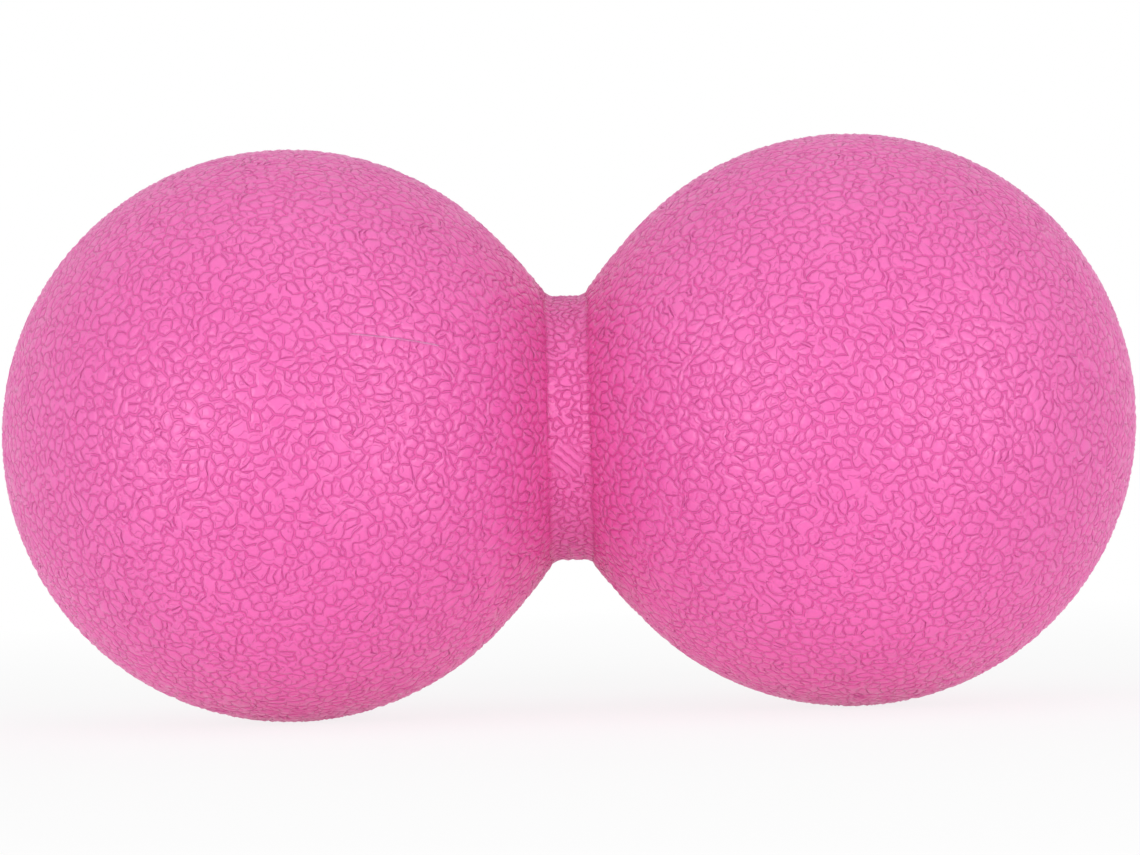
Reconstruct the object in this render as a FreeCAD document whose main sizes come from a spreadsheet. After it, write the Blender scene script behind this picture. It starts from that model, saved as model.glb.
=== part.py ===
"""Peanut massage ball: two equal balls and the short round neck between them, in one moulding.

All sizes are in millimetres and degrees. The long axis lies along X, the origin is the middle of
the neck and of the whole body, and Z is up. The body is a full turn of one outline about X.
"""

import FreeCAD
import Part
import Sketcher

import math
import os

PEANUT_NODE = "peanut_ball"

# Driving sizes. Each ball is a true sphere, apart from the flank that runs down to the neck.
SIZES = [
    ("ball_diameter", 63.0),   # across one ball, square to the long axis
    ("neck_diameter", 29.2),   # across the waist
    ("neck_width", 3.8),       # length of the straight waist, before its corners are rounded
    ("flank_radius", 60.0),    # the slack curve that leads each ball into the waist
    ("flank_lean", 35.8),      # how far the flank leans away from the waist's middle plane, degrees
    ("corner_radius", 0.8),    # the small round where waist and flank meet
]
SHEET = "Sizes"
ORIGIN_POINT = (-1, 1)            # the sketch's own origin
START, END, CENTRE = range(1, 4)  # a sketch line's or arc's own points
SAME = 1e-4                       # how close two sizes are when they count as one


def make_sheet(doc):
    """Writes every driving size into its own named cell."""
    sheet = doc.addObject("Spreadsheet::Sheet", SHEET)
    for row, (alias, value) in enumerate(SIZES, start=1):
        sheet.set(f"A{row}", alias)
        sheet.set(f"B{row}", str(value))
        sheet.setAlias(f"B{row}", alias)
    doc.recompute()
    return sheet


def origin_plane(body, role):
    return next(f for f in body.Origin.OriginFeatures if f.Role == role)


def outline_points(sheet):
    """Where one half outline's arcs meet, worked out from the driving sizes.

    The flank leaves the waist's corner at its lean and bulges outward, and the ball carries on from
    it with no kink, so the flank's centre, the ball's centre and the point where they meet lie in
    one line. The ball's centre is on the long axis.
    """
    ball_radius = sheet.ball_diameter / 2
    corner = FreeCAD.Vector(sheet.neck_width / 2, sheet.neck_diameter / 2, 0)
    lean = math.radians(sheet.flank_lean)
    flank_centre = corner + FreeCAD.Vector(math.cos(lean), -math.sin(lean), 0) * sheet.flank_radius
    between_centres = sheet.flank_radius - ball_radius
    back = math.sqrt(between_centres ** 2 - flank_centre.y ** 2)
    ball_centre = FreeCAD.Vector(flank_centre.x - back, 0, 0)
    outward = (ball_centre - flank_centre).normalize()
    return corner, flank_centre, ball_centre, outward


def arc_between(centre, radius, from_angle, to_angle):
    circle = Part.Circle(centre, FreeCAD.Vector(0, 0, 1), radius)
    return Part.ArcOfCircle(circle, from_angle, to_angle)


def half_outline(body, sheet):
    """One ball and half the waist, drawn above the long axis and closed along it."""
    corner, flank_centre, ball_centre, outward = outline_points(sheet)
    ball_radius = sheet.ball_diameter / 2
    origin = FreeCAD.Vector(0, 0, 0)
    waist_top = FreeCAD.Vector(0, corner.y, 0)
    pole = ball_centre + FreeCAD.Vector(ball_radius, 0, 0)
    join_angle = math.atan2(outward.y, outward.x)
    corner_angle = math.atan2(corner.y - flank_centre.y, corner.x - flank_centre.x)

    sketch = body.newObject("Sketcher::SketchObject", "HalfOutline")
    sketch.AttachmentSupport = (origin_plane(body, "XY_Plane"), [""])
    sketch.MapMode = "FlatFace"
    axis = sketch.addGeometry(Part.LineSegment(origin, pole))
    ball = sketch.addGeometry(arc_between(ball_centre, ball_radius, 0, join_angle))
    flank = sketch.addGeometry(
        arc_between(flank_centre, sheet.flank_radius, join_angle, corner_angle)
    )
    waist = sketch.addGeometry(Part.LineSegment(corner, waist_top))
    middle = sketch.addGeometry(Part.LineSegment(waist_top, origin))
    lean_line = sketch.addGeometry(Part.LineSegment(corner, flank_centre), True)

    def tie(*constraint):
        return sketch.addConstraint(Sketcher.Constraint(*constraint))

    def size(formula, *constraint):
        sketch.setExpression(f"Constraints[{tie(*constraint)}]", formula)

    tie("Coincident", axis, START, *ORIGIN_POINT)
    tie("Horizontal", axis)
    tie("Coincident", axis, END, ball, START)
    tie("PointOnObject", ball, CENTRE, axis)
    tie("Tangent", ball, END, flank, START)
    tie("Coincident", flank, END, waist, START)
    tie("Horizontal", waist)
    tie("Coincident", waist, END, middle, START)
    tie("Vertical", middle)
    tie("Coincident", middle, END, *ORIGIN_POINT)
    tie("Coincident", lean_line, START, flank, END)
    tie("Coincident", lean_line, END, flank, CENTRE)
    size(f"{SHEET}.ball_diameter / 2", "Radius", ball, ball_radius)
    size(f"{SHEET}.flank_radius", "Radius", flank, sheet.flank_radius)
    size(f"{SHEET}.neck_diameter / 2", "DistanceY", *ORIGIN_POINT, waist, END, corner.y)
    size(f"{SHEET}.neck_width / 2", "DistanceX", *ORIGIN_POINT, waist, START, corner.x)
    size(f"-{SHEET}.flank_lean", "Angle", lean_line, -math.radians(sheet.flank_lean))
    return sketch


def waist_corners(shape, sheet):
    """The two sharp rings where the straight waist meets the flanks."""
    corners = []
    for number, edge in enumerate(shape.Edges, start=1):
        if edge.Degenerated or not isinstance(edge.Curve, Part.Circle):
            continue
        if abs(edge.Curve.Radius - sheet.neck_diameter / 2) < SAME:
            if abs(abs(edge.Curve.Center.x) - sheet.neck_width / 2) < SAME:
                corners.append(f"Edge{number}")
    if not corners:
        raise ValueError("the waist has no corner rings to round")
    return corners


def make_peanut(doc, sheet):
    """The whole body: half the outline turned about the long axis, mirrored, and its corners rounded."""
    body = doc.addObject("PartDesign::Body", "PeanutBody")
    body.Label = PEANUT_NODE
    sketch = half_outline(body, sheet)
    doc.recompute()

    half = body.newObject("PartDesign::Revolution", "HalfPeanut")
    half.Profile = sketch
    half.ReferenceAxis = (sketch, ["H_Axis"])
    half.Angle = 360
    sketch.Visibility = False
    doc.recompute()

    whole = body.newObject("PartDesign::Mirrored", "BothBalls")
    whole.Originals = [half]
    whole.MirrorPlane = (origin_plane(body, "YZ_Plane"), [""])
    body.Tip = whole
    doc.recompute()

    rounded = body.newObject("PartDesign::Fillet", "WaistCorners")
    rounded.Base = (whole, waist_corners(whole.Shape, sheet))
    rounded.setExpression("Radius", f"{SHEET}.corner_radius")
    body.Tip = rounded
    body.Placement = FreeCAD.Placement()
    doc.recompute()
    return body


def check_document(doc):
    """Stops with a plain message if any object of the document failed."""
    for obj in doc.Objects:
        failed = [state for state in obj.State if state in ("Invalid", "Error")]
        if failed:
            raise RuntimeError(f"{obj.Label} is {failed}")


def check_shape(body):
    shape = body.Shape
    if shape.isNull() or not shape.isValid():
        raise RuntimeError(f"{body.Label} has no valid shape")
    if len(shape.Solids) != 1:
        raise RuntimeError(f"{body.Label} is {len(shape.Solids)} solids, not one")


def main():
    doc = FreeCAD.newDocument("peanut_massage_ball")
    sheet = make_sheet(doc)
    body = make_peanut(doc, sheet)
    doc.recompute()
    check_document(doc)
    check_shape(body)
    os.makedirs("parts", exist_ok=True)
    body.Shape.exportStep(os.path.join("parts", f"{body.Label}.step"))
    box = body.Shape.BoundBox
    print(f"{body.Label}: {box.XLength:.2f} x {box.YLength:.2f} x {box.ZLength:.2f} mm,")
    print(f"volume {body.Shape.Volume / 1000:.1f} cm3, {len(body.Shape.Faces)} faces")


main()
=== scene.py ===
"""A pink peanut massage ball: two balls and a short neck in one rubber moulding, grained all over.

The moulding's plain solid comes with the frame. This script covers the same outline with the mould's
leather grain, as real relief and in the material, and sets it on a white studio floor.
The ball's long axis lies along X, the camera looks along +Y, and Z is up. Lengths are in metres.
"""

import math
from types import SimpleNamespace

import bpy
import numpy as np
from mathutils import Matrix, Vector
from mathutils.geometry import delaunay_2d_cdt


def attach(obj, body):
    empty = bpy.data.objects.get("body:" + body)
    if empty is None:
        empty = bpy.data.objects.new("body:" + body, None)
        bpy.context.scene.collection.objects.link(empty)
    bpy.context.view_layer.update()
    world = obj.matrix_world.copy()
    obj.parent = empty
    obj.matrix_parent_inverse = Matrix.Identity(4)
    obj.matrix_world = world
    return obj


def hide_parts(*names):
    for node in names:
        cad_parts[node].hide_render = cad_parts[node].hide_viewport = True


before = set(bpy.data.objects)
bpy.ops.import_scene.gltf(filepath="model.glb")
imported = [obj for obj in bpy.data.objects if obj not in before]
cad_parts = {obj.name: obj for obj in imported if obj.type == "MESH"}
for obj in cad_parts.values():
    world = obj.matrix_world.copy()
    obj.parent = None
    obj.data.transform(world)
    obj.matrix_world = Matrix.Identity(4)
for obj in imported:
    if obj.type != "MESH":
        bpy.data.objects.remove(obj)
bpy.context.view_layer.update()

MM = 0.001
SOLID = "peanut_ball"
SEED = 63

# Outline sizes, the same as the solid's own
BALL_RADIUS = 31.5 * MM
NECK_RADIUS = 14.6 * MM
NECK_WIDTH = 3.8 * MM
FLANK_RADIUS = 60.0 * MM
FLANK_LEAN = math.radians(35.8)
CORNER_RADIUS = 0.8 * MM
OUTLINE_STEP = 0.05 * MM

# Leather grain of the mould: low pebbles parted by narrow soft grooves
PEBBLE_AREA = 1.5 * MM * MM
NECK_PEBBLE_SHARE = 0.6       # pebbles on the neck are this much smaller
NECK_PEBBLES_TO = 2.6 * MM    # out to this far from its middle
SHAKE = 0.30                  # how far each pebble's centre is shaken, in pebble widths
DRIFT = 0.11 * MM             # slow drift of the pebbles, which makes some patches finer than others
DRIFT_WAVE = 17.0 * MM
CALM_RADIUS = 3.0 * MM        # shake and drift die out within this radius at the two ends
WAVE_SPREAD = (0.7, 1.4)      # a random field's waves are its length over numbers between these
CLOSEST_TO_SIDE = 0.08        # how near a crossing comes to its triangle's sides, in its heights
EVENING = 0.1                 # how far a crossing moves to the middle of its neighbours
PULL = 0.13 * MM              # quick sideways pull, which draws some pebbles out long
PULL_WAVE = 4.2 * MM
BEND = 0.15                   # how far a groove's middle is pushed aside, in its own lengths
SEED_PULL = 0.4               # a pebble's peak lies this far from its middle towards its seed
LEAST_REACH = 0.12 * MM       # and at least this far from its grooves
TIGHT_REACH = 0.04 * MM       # a groove nearer than this is straightened and eased away
CLEARING_ROUNDS = 8
EASING_ROUNDS = 5
FADED_GROOVES = 0.11          # share of the grooves that fade, so that their pebbles run together
FADED_GAP = 0.30 * MM
GROOVE_HALF_WIDTH = 0.22 * MM
GROOVE_FLOOR = 0.04 * MM      # half the width of its bottom
GROOVE_ROUND = 0.08 * MM      # over which its bottom turns into its sides
GROOVE_DEPTH = 0.11 * MM
GROOVE_LIFT = 0.035 * MM      # spread of the grooves' depths, as a distance from their middle line
SHOULDER = 0.58 * MM          # a pebble's top rounds off over this width beside its groove
SHOULDER_DROP = 0.8           # by this share of a groove's depth
RIM_WAVE = 0.55 * MM          # the grooves' sides wander in and out over this length
RIM_WANDER = 0.24 * MM
CREASE_WAVE = 1.5 * MM        # winding creases that cross the wide pebbles
CREASE_WIDTH = 0.035          # in the values of the noise that draws them
CREASE_DEPTH = 0.5            # in groove depths
CREASE_FROM = 0.20 * MM       # they start this far from a groove
CREASE_TO = 0.40 * MM         # and are at full depth here

# Mould parting line: a hair of raised flash along part of the left ball
FLASH_CODE = 1                # its number among the lines that the grain follows
FLASH_AROUND = math.radians(20.0)
FLASH_FROM_X = -23.4 * MM
FLASH_TO_X = -12.6 * MM
FLASH_RISE = 0.7              # in groove depths
FLASH_ENDS = 4                # a higher number gives it shorter ends
FLASH_FOOT = 0.8              # its share of the way to the next pebble that stays flat
FLASH_ROW = 0.70 * MM         # the pebbles keep this far off the line on both sides
FLASH_STEP = 1.35 * MM        # and are this far apart along it
FLASH_CLEAR = 1.75            # all other pebbles are cleared off it, over this many row widths
ROW_SHAKE = 0.25              # how unevenly the rows beside a line are stepped, in steps

# The neck's two edges, where a fine crease runs all round and sways to both sides
NECK_EDGE_X = 2.2 * MM
NECK_ROW = 0.55 * MM          # row, step and clearing as for the parting line
NECK_STEP = 1.15 * MM
NECK_CLEAR = 1.6
RING_SWAY = 0.13 * MM
RING_WAVE = 5.0 * MM
EDGE_SINK = 0.08 * MM         # it comes and goes: this much deeper, as a distance from its middle
EDGE_LIFT = 0.20 * MM         # or this much fainter
EDGE_HALF_WIDTH = 0.55 * MM   # a wider soft crease follows it
EDGE_WANDER = 1.4 * MM
EDGE_DEPTH = 0.55             # in groove depths

# Drag marks from the mould, which slant over one spot of the neck
DRAG_PLACE = (-0.3 * MM, -14.6 * MM, -3.6 * MM)
DRAG_ACROSS = (0.66, 0.0, 0.75)   # the way from one mark to the next
DRAG_STEP = 0.85 * MM
DRAG_EDGE = 0.15              # a higher number, up to 1, makes each mark narrower
DRAG_WANDER = 0.25 * MM
DRAG_FULL = 1.3 * MM          # they are at full depth this near to the spot
DRAG_TO = 2.3 * MM            # and end here

# Colours of the rubber
TOPS, PALE_TOPS = "#F168B6", "#F873BE"
PATCH_WAVE = 16.0 * MM        # the tops vary between the two over this length
# Painted shade on the flanks beside the neck, where the other ball takes away the light
SHADED_FLANKS = "#E14C9B"
FLANK_SHADE = 0.4              # share of painted shade on the flanks beside the neck
FLANK_SHADE_TO = 10.0 * MM          # the painted shade fades out by here, from the neck's middle
# The grooves' colours are painted shade: deeper on the neck, and deepest on the flanks beside it
SHADED_GROOVES, SHADED_NECK_GROOVES, SHADED_FLANK_GROOVES = "#E958A9", "#E1509E", "#BE2A70"
# Painted highlight along the raised flash
FLASH_HIGHLIGHT = "#FFA0D8"

MAP_MARGIN = 1.05             # room round each chart of the painting map

# The photograph's frame, in its own pixels, and the view that it was taken from
PHOTO_WIDTH, PHOTO_HEIGHT = 1140, 855
PHOTO_LENS = 150.0                    # in mm, as is the sensor
SENSOR_WIDTH = 36.0
MIDDLE_X, MIDDLE_Y = 569.05, 427.79   # where the middle of the neck is
AXIS_TILT = math.radians(1.637)       # the right ball is this much higher
CAMERA_AWAY = 523.0 * MM              # from the middle of the neck

FLOOR_Z = -BALL_RADIUS
FLOOR_WIDTH = 6.0
FLOOR_GLOW = 0.8              # share of the floor's look by the ball that is plain white
SHADOW_FROM, SHADOW_TO = 0.08, 0.30   # further out than this it is all white
FLOOR_LIGHT = 0.16            # what comes through the floor from below, where 1 is white
ROOM_LIGHT = 0.53             # light from all around, where 1 shows a colour as it is written
SOFTBOXES = [                 # name, place, width, level
    ("left_box", (-0.64, -0.82, 0.15), 0.45, 0.31),
    ("right_box", (0.64, -0.82, 0.15), 0.45, 0.31),
    ("overhead_box", (0.0, -0.25, 0.95), 0.7, 0.08),
]


def linear(hex_colour):
    """An sRGB hex colour as the linear numbers that a shader works with."""
    parts = [int(hex_colour[i:i + 2], 16) / 255 for i in (1, 3, 5)]
    return [p / 12.92 if p <= 0.04045 else ((p + 0.055) / 1.055) ** 2.4 for p in parts] + [1.0]


def unit(vectors):
    return vectors / np.maximum(np.linalg.norm(vectors, axis=-1, keepdims=True), 1e-12)


def node(tree, kind, inputs=None, **settings):
    """Adds a node, with its settings, and its inputs as plain values or as other nodes' outputs."""
    made = tree.nodes.new(kind)
    for name, value in settings.items():
        setattr(made, name, value)
    for name, value in (inputs or {}).items():
        if isinstance(value, bpy.types.NodeSocket):
            tree.links.new(value, made.inputs[name])
        else:
            made.inputs[name].default_value = value
    return made


# Outline of the moulding

def arc(centre, radius, start, end, hollow=False):
    """Points and outward normals along an arc. A hollow arc's outward side is towards its centre."""
    count = max(3, int(abs(end - start) * radius / OUTLINE_STEP))
    angle = np.linspace(start, end, count, endpoint=False)
    out = np.stack([np.cos(angle), np.sin(angle)], 1)
    return np.array(centre) + radius * out, -out if hollow else out


def half_outline():
    """From the middle of the neck to the right ball's far end, as (x, radius) and normals."""
    corner = np.array([NECK_WIDTH / 2, NECK_RADIUS])
    flank = corner + FLANK_RADIUS * np.array([math.cos(FLANK_LEAN), -math.sin(FLANK_LEAN)])
    back = math.sqrt((FLANK_RADIUS - BALL_RADIUS) ** 2 - flank[1] ** 2)
    ball = np.array([flank[0] - back, 0.0])
    join = math.atan2(ball[1] - flank[1], ball[0] - flank[0])
    rise = NECK_RADIUS + CORNER_RADIUS - flank[1]
    run = math.sqrt((FLANK_RADIUS + CORNER_RADIUS) ** 2 - rise ** 2)
    bend = np.array([flank[0] - run, NECK_RADIUS + CORNER_RADIUS])
    flank_end = math.atan2(bend[1] - flank[1], bend[0] - flank[0])
    straight = np.linspace(0, bend[0], max(3, int(bend[0] / OUTLINE_STEP)), endpoint=False)
    pieces = [
        (np.stack([straight, np.full_like(straight, NECK_RADIUS)], 1),
         np.tile([0.0, 1.0], (len(straight), 1))),
        arc(bend, CORNER_RADIUS, -math.pi / 2, flank_end - math.pi, hollow=True),
        arc(flank, FLANK_RADIUS, flank_end, join),
        arc(ball, BALL_RADIUS, join, 0.0),
        (np.array([[ball[0] + BALL_RADIUS, 0.0]]), np.array([[1.0, 0.0]])),
    ]
    return np.concatenate([p for p, _ in pieces]), np.concatenate([n for _, n in pieces]), ball[0]


def whole_outline():
    """The outline from the left end to the right, with what the grain needs to know along it.

    `along` is the length run from the left end, `area` the surface passed by then, and `warp` the
    coordinate in which the surface unrolls onto a flat sheet with every small shape kept.
    """
    points, normals, ball_x = half_outline()
    mirror = np.array([-1.0, 1.0])
    points = np.concatenate([points[:0:-1] * mirror, points])
    normals = np.concatenate([normals[:0:-1] * mirror, normals])
    steps = np.linalg.norm(np.diff(points, axis=0), axis=1)
    along = np.concatenate([[0.0], np.cumsum(steps)])
    radius = points[:, 1]
    mean = (radius[1:] + radius[:-1]) / 2
    area = np.concatenate([[0.0], np.cumsum(2 * math.pi * mean * steps)])
    warp = np.concatenate([[0.0], np.cumsum(steps / mean)])
    return SimpleNamespace(
        along=along, x=points[:, 0], radius=radius, nx=normals[:, 0], nr=normals[:, 1],
        area=area, warp=warp - np.interp(0.0, points[:, 0], warp), ball_x=ball_x,
        bearing=math.pi - np.arctan2(radius, points[:, 0]),
    )


outline = whole_outline()


def radius_at(along):
    return np.interp(along, outline.along, outline.radius)


def normal_at(along, around):
    nr = np.interp(along, outline.along, outline.nr)
    nx = np.interp(along, outline.along, outline.nx)
    return unit(np.stack([nx, -nr * np.cos(around), nr * np.sin(around)], 1))


def point_at(along, around):
    """A place on the surface. `around` is 0 on the side that faces the camera and grows upwards."""
    radius = radius_at(along)
    x = np.interp(along, outline.along, outline.x)
    return np.stack([x, -radius * np.cos(around), radius * np.sin(around)], 1)


def place_of(points):
    """Where on the surface a nearby point belongs, as (along, around)."""
    radius = np.hypot(points[:, 1], points[:, 2])
    bearing = math.pi - np.arctan2(radius, points[:, 0])
    return np.interp(bearing, outline.bearing, outline.along), np.arctan2(points[:, 2], -points[:, 1])


# Where the pebbles lie

def ripples(rng, wave, count=28):
    """A smooth random field over space, made of many waves of about one length."""
    heading = unit(rng.normal(size=(count, 3)))
    number = heading * (2 * math.pi / wave) * rng.uniform(*WAVE_SPREAD, (count, 1))
    phase = rng.uniform(0, 2 * math.pi, count)
    return lambda points: np.sin(points @ number.T + phase).sum(1) * math.sqrt(2 / count)


def shifted(along, around, ahead, aside):
    """Places moved by these lengths along and around the surface, less near its two ends."""
    calm = np.minimum(radius_at(along) / CALM_RADIUS, 1.0)
    moved = np.clip(along + ahead * calm, outline.along[1], outline.along[-2])
    return moved, around + aside * calm / np.maximum(radius_at(moved), MM)


def pebble_seeds(rng):
    """One seed for each pebble, closer together on the neck."""
    on_neck = np.exp(-(outline.x / NECK_PEBBLES_TO) ** 4)
    density = 1 + on_neck * (1 / NECK_PEBBLE_SHARE - 1)
    share = np.concatenate([[0.0], np.cumsum(np.diff(outline.area) * (density[1:] + density[:-1]) / 2)])
    count = int(share[-1] / PEBBLE_AREA)
    turn = math.pi * (3 - math.sqrt(5))
    along = np.interp((np.arange(count) + 0.5) / count * share[-1], share, outline.along)
    around = np.arange(count) * turn
    shake = math.sqrt(PEBBLE_AREA) * SHAKE
    along, around = shifted(along, around, *(rng.normal(size=(2, count)) * shake))
    places = point_at(along, around)
    drift = [ripples(rng, DRIFT_WAVE)(places) * DRIFT for _ in range(2)]
    return shifted(along, around, *drift)


def guides():
    """Lines that the grain follows: the mould's parting line and the two edges of the neck.

    Each runs from `start` to `end` and lies `at` one place the other way. A row of pebbles keeps
    `row` off it on both sides, and a `ring` runs round the body instead of along it.
    """
    start, end = (np.interp(x, outline.x, outline.along) for x in (FLASH_FROM_X, FLASH_TO_X))
    lines = [SimpleNamespace(code=FLASH_CODE, ring=False, start=start, end=end, at=FLASH_AROUND,
                             row=FLASH_ROW, step=FLASH_STEP, clear=FLASH_CLEAR)]
    for x in (-NECK_EDGE_X, NECK_EDGE_X):
        at = np.interp(x, outline.x, outline.along)
        lines.append(SimpleNamespace(
            code=FLASH_CODE + len(lines), ring=True, start=0.0, end=2 * math.pi, at=at,
            row=NECK_ROW, step=NECK_STEP / radius_at(at), clear=NECK_CLEAR,
        ))
    return lines


def add_guide_rows(rng, lines, along, around):
    """Clears the pebbles off each guide and sets a row of them on both sides of it."""
    side = np.zeros(len(along), int)
    for guide in lines:
        if guide.ring:
            near = np.abs(along - guide.at) < guide.row * guide.clear
        else:
            off = np.abs(np.angle(np.exp(1j * (around - guide.at)))) * radius_at(along)
            near = (off < guide.row * guide.clear) & (along > guide.start - guide.step / 2)
            near &= along < guide.end + guide.step / 2
        near &= side == 0
        along, around, side = along[~near], around[~near], side[~near]
        for which in (1, -1):
            count = int(round((guide.end - guide.start) / guide.step))
            row = guide.start + (np.arange(count) + 0.5 * (which > 0)) * guide.step
            row = row + rng.uniform(-ROW_SHAKE, ROW_SHAKE, count) * guide.step
            if guide.ring:
                new = np.full(count, guide.at + which * guide.row), row
            else:
                new = row, guide.at + which * guide.row / radius_at(row)
            along, around = np.concatenate([along, new[0]]), np.concatenate([around, new[1]])
            side = np.concatenate([side, np.full(count, which * guide.code)])
    return along, around, side


def triangles_between(along, around):
    """Joins neighbouring seeds into triangles over the whole closed surface, wound outwards.

    The surface is laid on a plane with small shapes kept: the left end falls on the plane's middle
    and the right end goes to infinity, so the last seed, at that end, closes the outer rim.
    """
    reach = np.exp(np.interp(along, outline.along, outline.warp))
    flat = [Vector((r * math.cos(a), r * math.sin(a))) for r, a in zip(reach, around)]
    flat.append(Vector((0.0, 0.0)))
    places, _, faces, origin, _, _ = delaunay_2d_cdt(flat, [], [], 0, 0.0)
    seed = [o[0] for o in origin]
    found = []
    for a, b, c in faces:
        (ax, ay), (bx, by), (cx, cy) = places[a], places[b], places[c]
        left = (bx - ax) * (cy - ay) - (by - ay) * (cx - ax) > 0
        found.append((seed[a], seed[b], seed[c]) if left else (seed[a], seed[c], seed[b]))
    sides = {(t[k], t[k - 2]) for t in found for k in range(3)}
    far_end = len(flat)
    found += [(b, a, far_end) for a, b in sides if (b, a) not in sides]
    return np.array(found)


def neighbours_of(triangles):
    """For each triangle's side, from one corner to the next, the triangle across it."""
    start, end = triangles.ravel(), np.roll(triangles, -1, 1).ravel()
    count = int(triangles.max()) + 1
    there, back = start * count + end, end * count + start
    order = np.argsort(there)
    return order[np.searchsorted(there[order], back)] // 3


def crossing_points(seeds, triangles):
    """Where three grooves meet: between a seed triangle's middle and its true centre, and inside it."""
    corners = seeds[triangles]
    facing = ((corners[:, [1, 2, 0]] - corners[:, [2, 0, 1]]) ** 2).sum(2)
    centre = facing * (facing.sum(1, keepdims=True) - 2 * facing)
    off = centre / centre.sum(1, keepdims=True) - 1 / 3
    room = (1 / 3 - CLOSEST_TO_SIDE) / np.maximum(-off.min(1, keepdims=True), 1e-9)
    share = 1 / 3 + off * np.minimum(room, 1.0)
    return (corners * share[:, :, None]).sum(1)


def fade(gap, width):
    """1 in a groove and 0 past this width beside it, with a soft turn at both."""
    share = np.clip((width - gap) / (width - GROOVE_FLOOR), 0, 1)
    return share * share * (3 - 2 * share)


def clear_peaks(rims, faces, seeds):
    """Each pebble's peak, near its middle, and how far each stretch of its groove keeps from it."""
    cell, start, end = faces.T
    peaks = np.zeros((len(seeds), 3))
    np.add.at(peaks, cell, rims[start] + rims[end])
    peaks = peaks / (2 * np.bincount(cell))[:, None] * (1 - SEED_PULL) + seeds * SEED_PULL
    inward = unit(np.cross(normal_at(*place_of(peaks))[cell], rims[end] - rims[start]))
    for _ in range(CLEARING_ROUNDS):
        short = np.maximum(LEAST_REACH - ((peaks[cell] - rims[start]) * inward).sum(1), 0)
        push = np.zeros_like(peaks)
        np.add.at(push, cell, inward * short[:, None])
        peaks += push / np.maximum(np.bincount(cell, short > 0), 1)[:, None]
    return peaks, ((peaks[cell] - rims[start]) * inward).sum(1)


def relief(rng, flash_line, bend, code, along, width):
    """How far each point is from a groove, its share of the raised flash, and how deep it lies."""
    lift = np.abs(rng.normal(0, GROOVE_LIFT, len(code)))
    lift[bend[rng.uniform(size=len(bend)) < FADED_GROOVES]] = FADED_GAP
    lift[code == FLASH_CODE] = 0.0
    lift[code > FLASH_CODE] = rng.uniform(-EDGE_SINK, EDGE_LIFT, np.sum(code > FLASH_CODE))
    gap = np.concatenate([lift, width])
    swell = (along - flash_line.start) / (flash_line.end - flash_line.start)
    flash = np.clip(np.sin(np.clip(swell, 0, 1) * math.pi) * FLASH_ENDS, 0, 1)
    flash[len(code):] = 0.0
    flash[:len(code)] *= code == FLASH_CODE
    hollow = fade(gap, GROOVE_HALF_WIDTH) + fade(gap, SHOULDER) * SHOULDER_DROP
    return gap, flash, hollow * (1 - flash) - flash * FLASH_RISE


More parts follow.
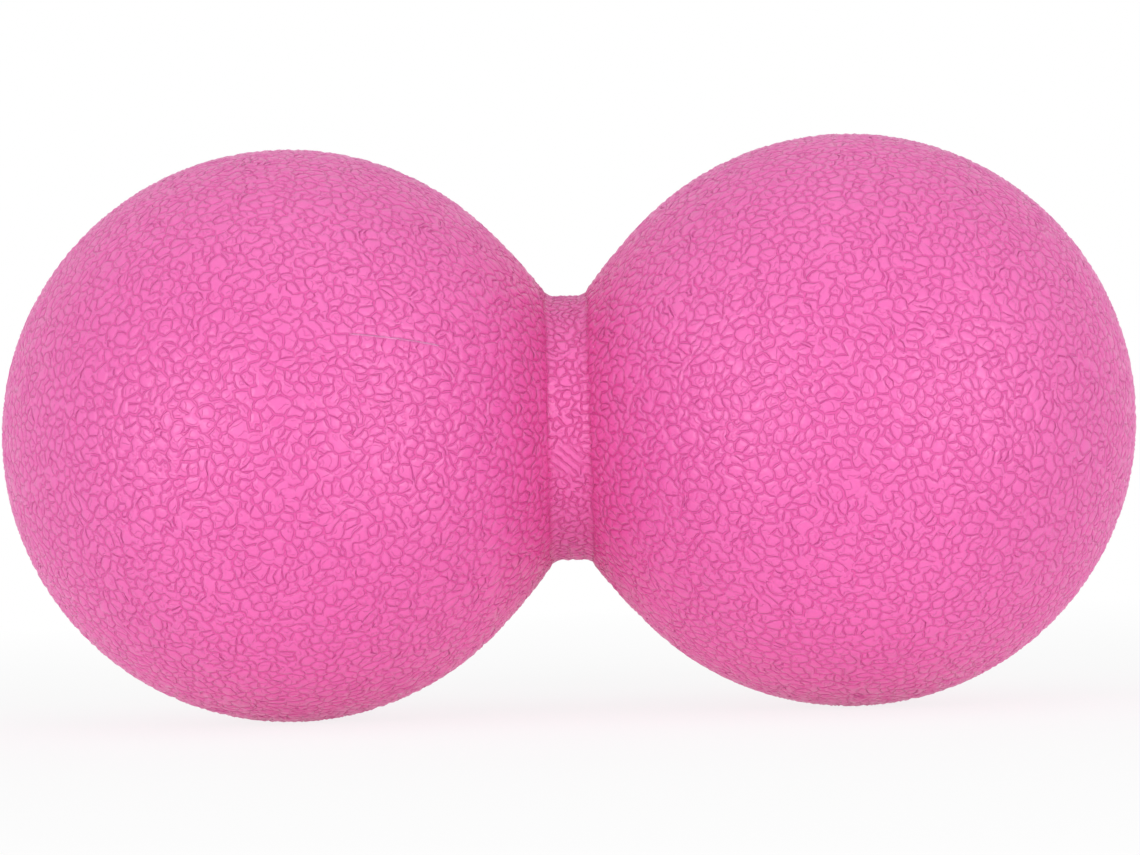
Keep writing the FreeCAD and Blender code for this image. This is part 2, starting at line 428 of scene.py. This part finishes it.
def build_grain():
    """The grained surface: its points, smooth normals and triangles, and how it is grooved.

    Every pebble is a fan of triangles from its peak to the grooves around it. A groove has three
    points: the crossings at its ends and its own middle. `gap` is each point's distance from the
    nearest groove, and `flash` is 1 on the raised parting line.
    """
    rng = np.random.default_rng(SEED)
    lines = guides()
    along, around, side = add_guide_rows(rng, lines, *pebble_seeds(rng))
    triangles = triangles_between(along, around)
    ends = np.array([[outline.x[0], 0, 0], [outline.x[-1], 0, 0]])
    seeds = np.concatenate([point_at(along, around), ends])
    met = np.concatenate([side, [0, 0]])[triangles]
    free = (met == 0).all(1)[:, None]

    # Crossings, one for each triangle of seeds
    first = np.arange(triangles.size) // 3
    across = neighbours_of(triangles)
    crossings = crossing_points(seeds, triangles)
    middle = crossings[across.reshape(-1, 3)].mean(1)
    crossings = crossings + (middle - crossings) * EVENING * free
    pull = np.stack([ripples(rng, PULL_WAVE)(crossings) for _ in range(3)], 1)
    crossings = crossings + pull * PULL * free
    on_guide = np.zeros(len(triangles), int)
    for guide in lines:
        on_guide[(met == guide.code).any(1) & (met == -guide.code).any(1)] = guide.code

    # Grooves, each with its two ends and the pebbles on both sides of it
    once = across > first
    start, end = first[once], across[once]
    left, right = triangles.ravel()[once], np.roll(triangles, -1, 1).ravel()[once]
    guided = (on_guide[start] > 0) & (on_guide[start] == on_guide[end])
    code = np.concatenate([on_guide, np.where(guided, on_guide[start], 0)])
    run = crossings[end] - crossings[start]
    aside = np.cross(run, unit(seeds[left] + seeds[right])) * rng.uniform(-BEND, BEND, (len(start), 1))
    aside[guided] = 0.0
    bend = len(crossings) + np.arange(len(start))
    faces = np.concatenate([
        np.stack([left, end, bend], 1), np.stack([left, bend, start], 1),
        np.stack([right, start, bend], 1), np.stack([right, bend, end], 1),
    ])
    groove_of = np.tile(np.arange(len(start)), 4)

    # Every pebble's peak is pushed clear of its grooves. A groove that stays in the way is
    # straightened, and that pebble's crossings are eased back to the middle between their seeds.
    sway = ripples(rng, RING_WAVE)
    for _ in range(EASING_ROUNDS):
        middles = (crossings[start] + crossings[end]) / 2 + aside
        along, around = place_of(np.concatenate([crossings, middles]))
        ring_sway = sway(point_at(along, around)) * RING_SWAY
        for guide in lines:
            mine = code == guide.code
            if guide.ring:
                along[mine] = guide.at + ring_sway[mine]
            else:
                around[mine] = guide.at
        peaks, reach = clear_peaks(point_at(along, around), faces, seeds)
        tight = reach < TIGHT_REACH
        aside[groove_of[tight]] = 0.0
        strained = np.isin(triangles, faces[tight, 0]).any(1)
        crossings[strained] += (seeds[triangles[strained]].mean(1) - crossings[strained]) / 2

    peak_along, peak_around = place_of(peaks)
    peak_along[-2:], peak_around[-2:] = outline.along[[0, -1]], 0.0
    along, around = np.concatenate([along, peak_along]), np.concatenate([around, peak_around])
    places, normals = point_at(along, around), normal_at(along, around)
    width = np.bincount(faces[:, 0], reach) / np.bincount(faces[:, 0])
    faces[:, 0] += len(code)
    gap, flash, hollow = relief(rng, lines[0], bend, code, along, width)
    return SimpleNamespace(
        vertices=places - normals * (hollow * GROOVE_DEPTH)[:, None], normals=normals, faces=faces,
        along=along, around=around, gap=gap, flash=flash,
    )


def unrolled(mesh, grain):
    """A map for painting: four round charts of even scale, two of each ball's halves."""
    vertex = grain.faces.ravel()
    area = np.interp(grain.along, outline.along, outline.area)[vertex]
    x = np.repeat(grain.vertices[:, 0][grain.faces].mean(1), 3)
    whole = outline.area[-1]
    neck = math.pi * NECK_RADIUS ** 2
    reach = np.select(
        [x < -outline.ball_x, x < 0, x < outline.ball_x],
        [area, whole / 2 - area + neck, area - whole / 2 + neck],
        whole - area,
    )
    reach = np.sqrt(np.maximum(reach, 0) / math.pi)
    across = math.sqrt((whole / 2 + neck) / math.pi) * MAP_MARGIN
    column, row = (x > 0) * 1.0, (np.abs(x) > outline.ball_x) * 1.0
    ahead = (x < -outline.ball_x) | ((x > 0) & (x < outline.ball_x))
    turn = grain.around[vertex] * np.where(ahead, 1, -1)
    u = (column + 0.5 + reach / across / 2 * np.cos(turn)) / 2
    v = (row + 0.5 + reach / across / 2 * np.sin(turn)) / 2
    layer = mesh.uv_layers.new(name="OFBake")
    layer.uv.foreach_set("vector", np.stack([u, v], 1).ravel())


def grain_grooves(tree, place, wander):
    """How deep in a groove a place lies, from 0 to 1, and how far the pebble's top drops there."""
    # The grooves' bottoms are round, and their sides wander, so that none is a straight line
    gap = node(tree, "ShaderNodeAttribute", attribute_name="gap").outputs["Fac"]
    gap = node(tree, "ShaderNodeMath", {0: gap, 1: GROOVE_FLOOR, 2: GROOVE_ROUND},
               operation="SMOOTH_MAX").outputs[0]
    gap = node(tree, "ShaderNodeMath", {0: wander, 1: RIM_WANDER, 2: gap},
               operation="MULTIPLY_ADD").outputs[0]
    wall = node(tree, "ShaderNodeMapRange", {
        "Value": gap, "From Min": GROOVE_HALF_WIDTH, "From Max": GROOVE_FLOOR,
    }, interpolation_type="SMOOTHSTEP").outputs["Result"]
    shoulder = node(tree, "ShaderNodeMapRange", {
        "Value": gap, "From Min": SHOULDER, "From Max": GROOVE_FLOOR, "To Max": SHOULDER_DROP,
    }, interpolation_type="SMOOTHSTEP").outputs["Result"]

    # Winding creases cross the wide pebbles, and end inside them
    beside = node(tree, "ShaderNodeTexNoise", {
        "Vector": place, "Scale": 1 / CREASE_WAVE, "Detail": 1.0,
    }).outputs["Fac"]
    beside = node(tree, "ShaderNodeMath", {0: beside, 1: 0.5}, operation="SUBTRACT").outputs[0]
    beside = node(tree, "ShaderNodeMath", {0: beside}, operation="ABSOLUTE").outputs[0]
    crease = node(tree, "ShaderNodeMapRange", {
        "Value": beside, "From Min": CREASE_WIDTH, "From Max": 0.0,
    }, interpolation_type="SMOOTHSTEP").outputs["Result"]
    wide = node(tree, "ShaderNodeMapRange", {
        "Value": gap, "From Min": CREASE_FROM, "From Max": CREASE_TO, "To Max": CREASE_DEPTH,
    }).outputs["Result"]
    crease = node(tree, "ShaderNodeMath", {0: crease, 1: wide}, operation="MULTIPLY").outputs[0]
    groove = node(tree, "ShaderNodeMath", {0: wall, 1: crease}, operation="MAXIMUM").outputs[0]
    return groove, shoulder


def with_drag_marks(tree, place, wander, groove):
    """The grooves, with the drag marks in their place over one spot of the neck."""
    wave = node(tree, "ShaderNodeVectorMath", {0: place, 1: DRAG_ACROSS},
                operation="DOT_PRODUCT").outputs["Value"]
    wave = node(tree, "ShaderNodeMath", {0: wander, 1: DRAG_WANDER, 2: wave},
                operation="MULTIPLY_ADD").outputs[0]
    wave = node(tree, "ShaderNodeMath", {0: wave, 1: 2 * math.pi / DRAG_STEP},
                operation="MULTIPLY").outputs[0]
    wave = node(tree, "ShaderNodeMath", {0: wave}, operation="SINE").outputs[0]
    mark = node(tree, "ShaderNodeMapRange", {"Value": wave, "From Min": DRAG_EDGE}).outputs["Result"]
    off = node(tree, "ShaderNodeVectorMath", {0: place, 1: DRAG_PLACE},
               operation="DISTANCE").outputs["Value"]
    share = node(tree, "ShaderNodeMapRange", {
        "Value": off, "From Min": DRAG_TO, "From Max": DRAG_FULL,
    }, interpolation_type="SMOOTHSTEP").outputs["Result"]
    return node(tree, "ShaderNodeMix", {"Factor": share, "A": groove, "B": mark}).outputs["Result"]


def with_neck_edges(tree, place, wander, groove):
    """The grooves, with a soft crease at both edges of the neck.

    With them come 1 past those edges and 0 on the neck, and the share of painted shade on the flanks
    beside the neck.
    """
    out = node(tree, "ShaderNodeSeparateXYZ", {"Vector": place}).outputs["X"]
    out = node(tree, "ShaderNodeMath", {0: out}, operation="ABSOLUTE").outputs[0]
    out = node(tree, "ShaderNodeMath", {0: wander, 1: EDGE_WANDER, 2: out},
               operation="MULTIPLY_ADD").outputs[0]
    off = node(tree, "ShaderNodeMath", {0: out, 1: NECK_EDGE_X}, operation="SUBTRACT").outputs[0]
    past = node(tree, "ShaderNodeMapRange", {
        "Value": off, "From Min": -EDGE_HALF_WIDTH / 2, "From Max": EDGE_HALF_WIDTH / 2,
    }).outputs["Result"]
    off = node(tree, "ShaderNodeMath", {0: off}, operation="ABSOLUTE").outputs[0]
    edge = node(tree, "ShaderNodeMapRange", {
        "Value": off, "From Min": EDGE_HALF_WIDTH, "From Max": 0.0, "To Max": EDGE_DEPTH,
    }, interpolation_type="SMOOTHSTEP").outputs["Result"]
    # The crease is relief, and it deepens the grooves' painted shade too
    groove = node(tree, "ShaderNodeMath", {0: groove, 1: edge}, operation="ADD").outputs[0]
    # Painted shade on the flanks beside the neck, fading out towards the balls
    near = node(tree, "ShaderNodeMapRange", {
        "Value": out, "From Min": FLANK_SHADE_TO, "From Max": NECK_EDGE_X, "To Max": FLANK_SHADE,
    }, interpolation_type="SMOOTHSTEP").outputs["Result"]
    flank = node(tree, "ShaderNodeMath", {0: near, 1: past}, operation="MULTIPLY").outputs[0]
    return groove, past, flank


def rubber_colour(tree, place, groove, past, flank, flash):
    """The pink, deeper in the grooves and beside the neck as painted shade, and lighter on the flash as
    a painted highlight.
    """
    patches = node(tree, "ShaderNodeTexNoise", {
        "Vector": place, "Scale": 1 / PATCH_WAVE, "Detail": 0.0,
    }).outputs["Fac"]
    tops = node(tree, "ShaderNodeMix", {"Factor": patches, "A": linear(TOPS), "B": linear(PALE_TOPS)},
                data_type="RGBA").outputs["Result"]
    # Painted shade on the tops of the flanks beside the neck
    tops = node(tree, "ShaderNodeMix", {"Factor": flank, "A": tops, "B": linear(SHADED_FLANKS)},
                data_type="RGBA").outputs["Result"]
    # Painted shade in the grooves: deeper on the neck, and deepest on the flanks beside it
    groove_shade = node(tree, "ShaderNodeMix", {
        "Factor": past, "A": linear(SHADED_NECK_GROOVES), "B": linear(SHADED_GROOVES),
    }, data_type="RGBA").outputs["Result"]
    groove_shade = node(tree, "ShaderNodeMix", {"Factor": flank, "A": groove_shade, "B": linear(SHADED_FLANK_GROOVES)},
                data_type="RGBA").outputs["Result"]
    colour = node(tree, "ShaderNodeMix", {"Factor": groove, "A": tops, "B": groove_shade},
                  data_type="RGBA").outputs["Result"]
    # Painted highlight on the raised flash
    return node(tree, "ShaderNodeMix", {"Factor": flash, "A": colour, "B": linear(FLASH_HIGHLIGHT)},
                data_type="RGBA").outputs["Result"]


def moulded_rubber():
    """Soft thermoplastic rubber from a grained mould: an even satin pink, deeper in the grooves as
    painted shade.
    """
    material = bpy.data.materials.new("moulded_rubber")
    material.use_nodes = True
    tree = material.node_tree
    tree.nodes.clear()
    place = node(tree, "ShaderNodeTexCoord").outputs["Object"]
    wander = node(tree, "ShaderNodeTexNoise", {
        "Vector": place, "Scale": 1 / RIM_WAVE, "Detail": 1.0,
    }).outputs["Fac"]
    wander = node(tree, "ShaderNodeMath", {0: wander, 1: 0.5}, operation="SUBTRACT").outputs[0]
    groove, shoulder = grain_grooves(tree, place, wander)
    groove = with_drag_marks(tree, place, wander, groove)
    groove, past, flank = with_neck_edges(tree, place, wander, groove)

    # The parting line's flash stands clear of the grain
    flash = node(tree, "ShaderNodeAttribute", attribute_name="flash").outputs["Fac"]
    flash = node(tree, "ShaderNodeMapRange", {"Value": flash, "From Min": FLASH_FOOT}).outputs["Result"]
    clear = node(tree, "ShaderNodeMath", {0: 1.0, 1: flash}, operation="SUBTRACT").outputs[0]
    groove = node(tree, "ShaderNodeMath", {0: groove, 1: clear}, operation="MULTIPLY").outputs[0]

    hollow = node(tree, "ShaderNodeMath", {0: groove, 1: shoulder}, operation="ADD").outputs[0]
    hollow = node(tree, "ShaderNodeMath", {0: flash, 1: -FLASH_RISE, 2: hollow},
                  operation="MULTIPLY_ADD").outputs[0]
    rise = node(tree, "ShaderNodeMath", {0: hollow, 1: -1.0}, operation="MULTIPLY").outputs[0]
    relief_normal = node(tree, "ShaderNodeBump", {"Height": rise, "Distance": GROOVE_DEPTH})
    shader = node(tree, "ShaderNodeBsdfPrincipled", {
        "Base Color": rubber_colour(tree, place, groove, past, flank, flash),
        "Normal": relief_normal.outputs["Normal"], "Roughness": 0.37, "IOR": 1.5,
        "Sheen Weight": 0.11, "Sheen Roughness": 0.3, "Sheen Tint": linear("#FFE6F2"),
        "Subsurface Weight": 0.1, "Subsurface Radius": (1.0, 0.35, 0.6), "Subsurface Scale": 0.6 * MM,
    })
    node(tree, "ShaderNodeOutputMaterial", {"Surface": shader.outputs["BSDF"]})
    return material


def make_skin(grain):
    """The grained surface as a mesh, which takes the plain solid's place on its body."""
    mesh = bpy.data.meshes.new("grained_peanut")
    mesh.from_pydata(grain.vertices.tolist(), [], grain.faces.tolist())
    for name in ("gap", "flash"):
        values = getattr(grain, name)
        mesh.attributes.new(name, "FLOAT", "POINT").data.foreach_set("value", values)
    unrolled(mesh, grain)
    mesh.normals_split_custom_set_from_vertices(grain.normals.tolist())
    mesh.materials.append(moulded_rubber())
    skin = bpy.data.objects.new("grained_peanut", mesh)
    bpy.context.collection.objects.link(skin)
    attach(skin, "root")
    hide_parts(SOLID)


def seen_white(tree):
    """1 for the camera, for gloss and for what shows through, and 0 for all other light."""
    path = node(tree, "ShaderNodeLightPath").outputs
    seen = node(tree, "ShaderNodeMath", {0: path["Is Camera Ray"], 1: path["Is Glossy Ray"]},
                operation="ADD").outputs[0]
    return node(tree, "ShaderNodeMath", {0: seen, 1: path["Is Transmission Ray"]},
                operation="ADD").outputs[0]


def studio_floor():
    """A white acrylic sheet, lit a little from below: it shows white, and keeps a faint shadow."""
    material = bpy.data.materials.new("white_acrylic")
    material.use_nodes = True
    tree = material.node_tree
    tree.nodes.clear()
    card = node(tree, "ShaderNodeBsdfDiffuse", {"Color": linear("#F4F4F4")})
    glow = node(tree, "ShaderNodeEmission", {"Color": linear("#FFFFFF"), "Strength": 1.0})
    below = node(tree, "ShaderNodeEmission", {"Color": linear("#FFFFFF"), "Strength": FLOOR_LIGHT})
    card = node(tree, "ShaderNodeAddShader", {0: card.outputs[0], 1: below.outputs[0]})
    place = node(tree, "ShaderNodeTexCoord").outputs["Object"]
    away = node(tree, "ShaderNodeVectorMath", {0: place}, operation="LENGTH").outputs["Value"]
    white = node(tree, "ShaderNodeMapRange", {
        "Value": away, "From Min": SHADOW_FROM, "From Max": SHADOW_TO, "To Min": FLOOR_GLOW,
    }).outputs["Result"]
    share = node(tree, "ShaderNodeMath", {0: seen_white(tree), 1: white},
                 operation="MULTIPLY").outputs[0]
    both = node(tree, "ShaderNodeMixShader", {0: share, 1: card.outputs[0], 2: glow.outputs[0]})
    node(tree, "ShaderNodeOutputMaterial", {"Surface": both.outputs[0]})
    half = FLOOR_WIDTH / 2
    mesh = bpy.data.meshes.new("studio_floor")
    mesh.from_pydata([(-half, -half, FLOOR_Z), (half, -half, FLOOR_Z), (half, half, FLOOR_Z),
                      (-half, half, FLOOR_Z)], [], [(0, 1, 2, 3)])
    mesh.materials.append(material)
    floor = bpy.data.objects.new("studio_floor", mesh)
    bpy.context.collection.objects.link(floor)


def studio_room():
    """The white room around: seen as white, while the light that it gives is set apart."""
    world = bpy.data.worlds.new("white_room")
    bpy.context.scene.world = world
    world.use_nodes = True
    tree = world.node_tree
    tree.nodes.clear()
    level = node(tree, "ShaderNodeMapRange", {"Value": seen_white(tree), "To Min": ROOM_LIGHT,
                                              "To Max": 1.0}).outputs["Result"]
    sky = node(tree, "ShaderNodeBackground", {"Color": linear("#FFFFFF"), "Strength": level})
    node(tree, "ShaderNodeOutputWorld", {"Surface": sky.outputs[0]})


def softbox(name, place, width, level):
    """A square soft lamp aimed at the ball. At level 1 a surface that faces it shows its own colour."""
    lamp = bpy.data.lights.new(name, "AREA")
    lamp.size = width
    place = Vector(place)
    lamp.energy = level * math.pi ** 2 * place.length_squared
    made = bpy.data.objects.new(name, lamp)
    made.location = place
    made.rotation_euler = (-place).to_track_quat("-Z", "Y").to_euler()
    bpy.context.collection.objects.link(made)


def photo_camera():
    """The photograph's view: level, from the front, and rolled so that the right ball stands higher."""
    camera = bpy.data.cameras.new("camera")
    camera.lens = PHOTO_LENS
    camera.sensor_fit = "HORIZONTAL"
    camera.sensor_width = SENSOR_WIDTH
    camera.clip_end = 100.0
    pixel = SENSOR_WIDTH / PHOTO_LENS / PHOTO_WIDTH * CAMERA_AWAY
    aside = (PHOTO_WIDTH / 2 - MIDDLE_X) * pixel
    above = (MIDDLE_Y - PHOTO_HEIGHT / 2) * pixel
    made = bpy.data.objects.new("camera", camera)
    level = Matrix.Rotation(AXIS_TILT, 4, "Y") @ Matrix.Rotation(math.pi / 2, 4, "X")
    made.matrix_world = level @ Matrix.Translation((aside, above, CAMERA_AWAY))
    bpy.context.collection.objects.link(made)
    bpy.context.scene.camera = made


grain = build_grain()
make_skin(grain)
studio_floor()
studio_room()
for lamp in SOFTBOXES:
    softbox(*lamp)
photo_camera()
bpy.context.scene.view_settings.view_transform = "Standard"
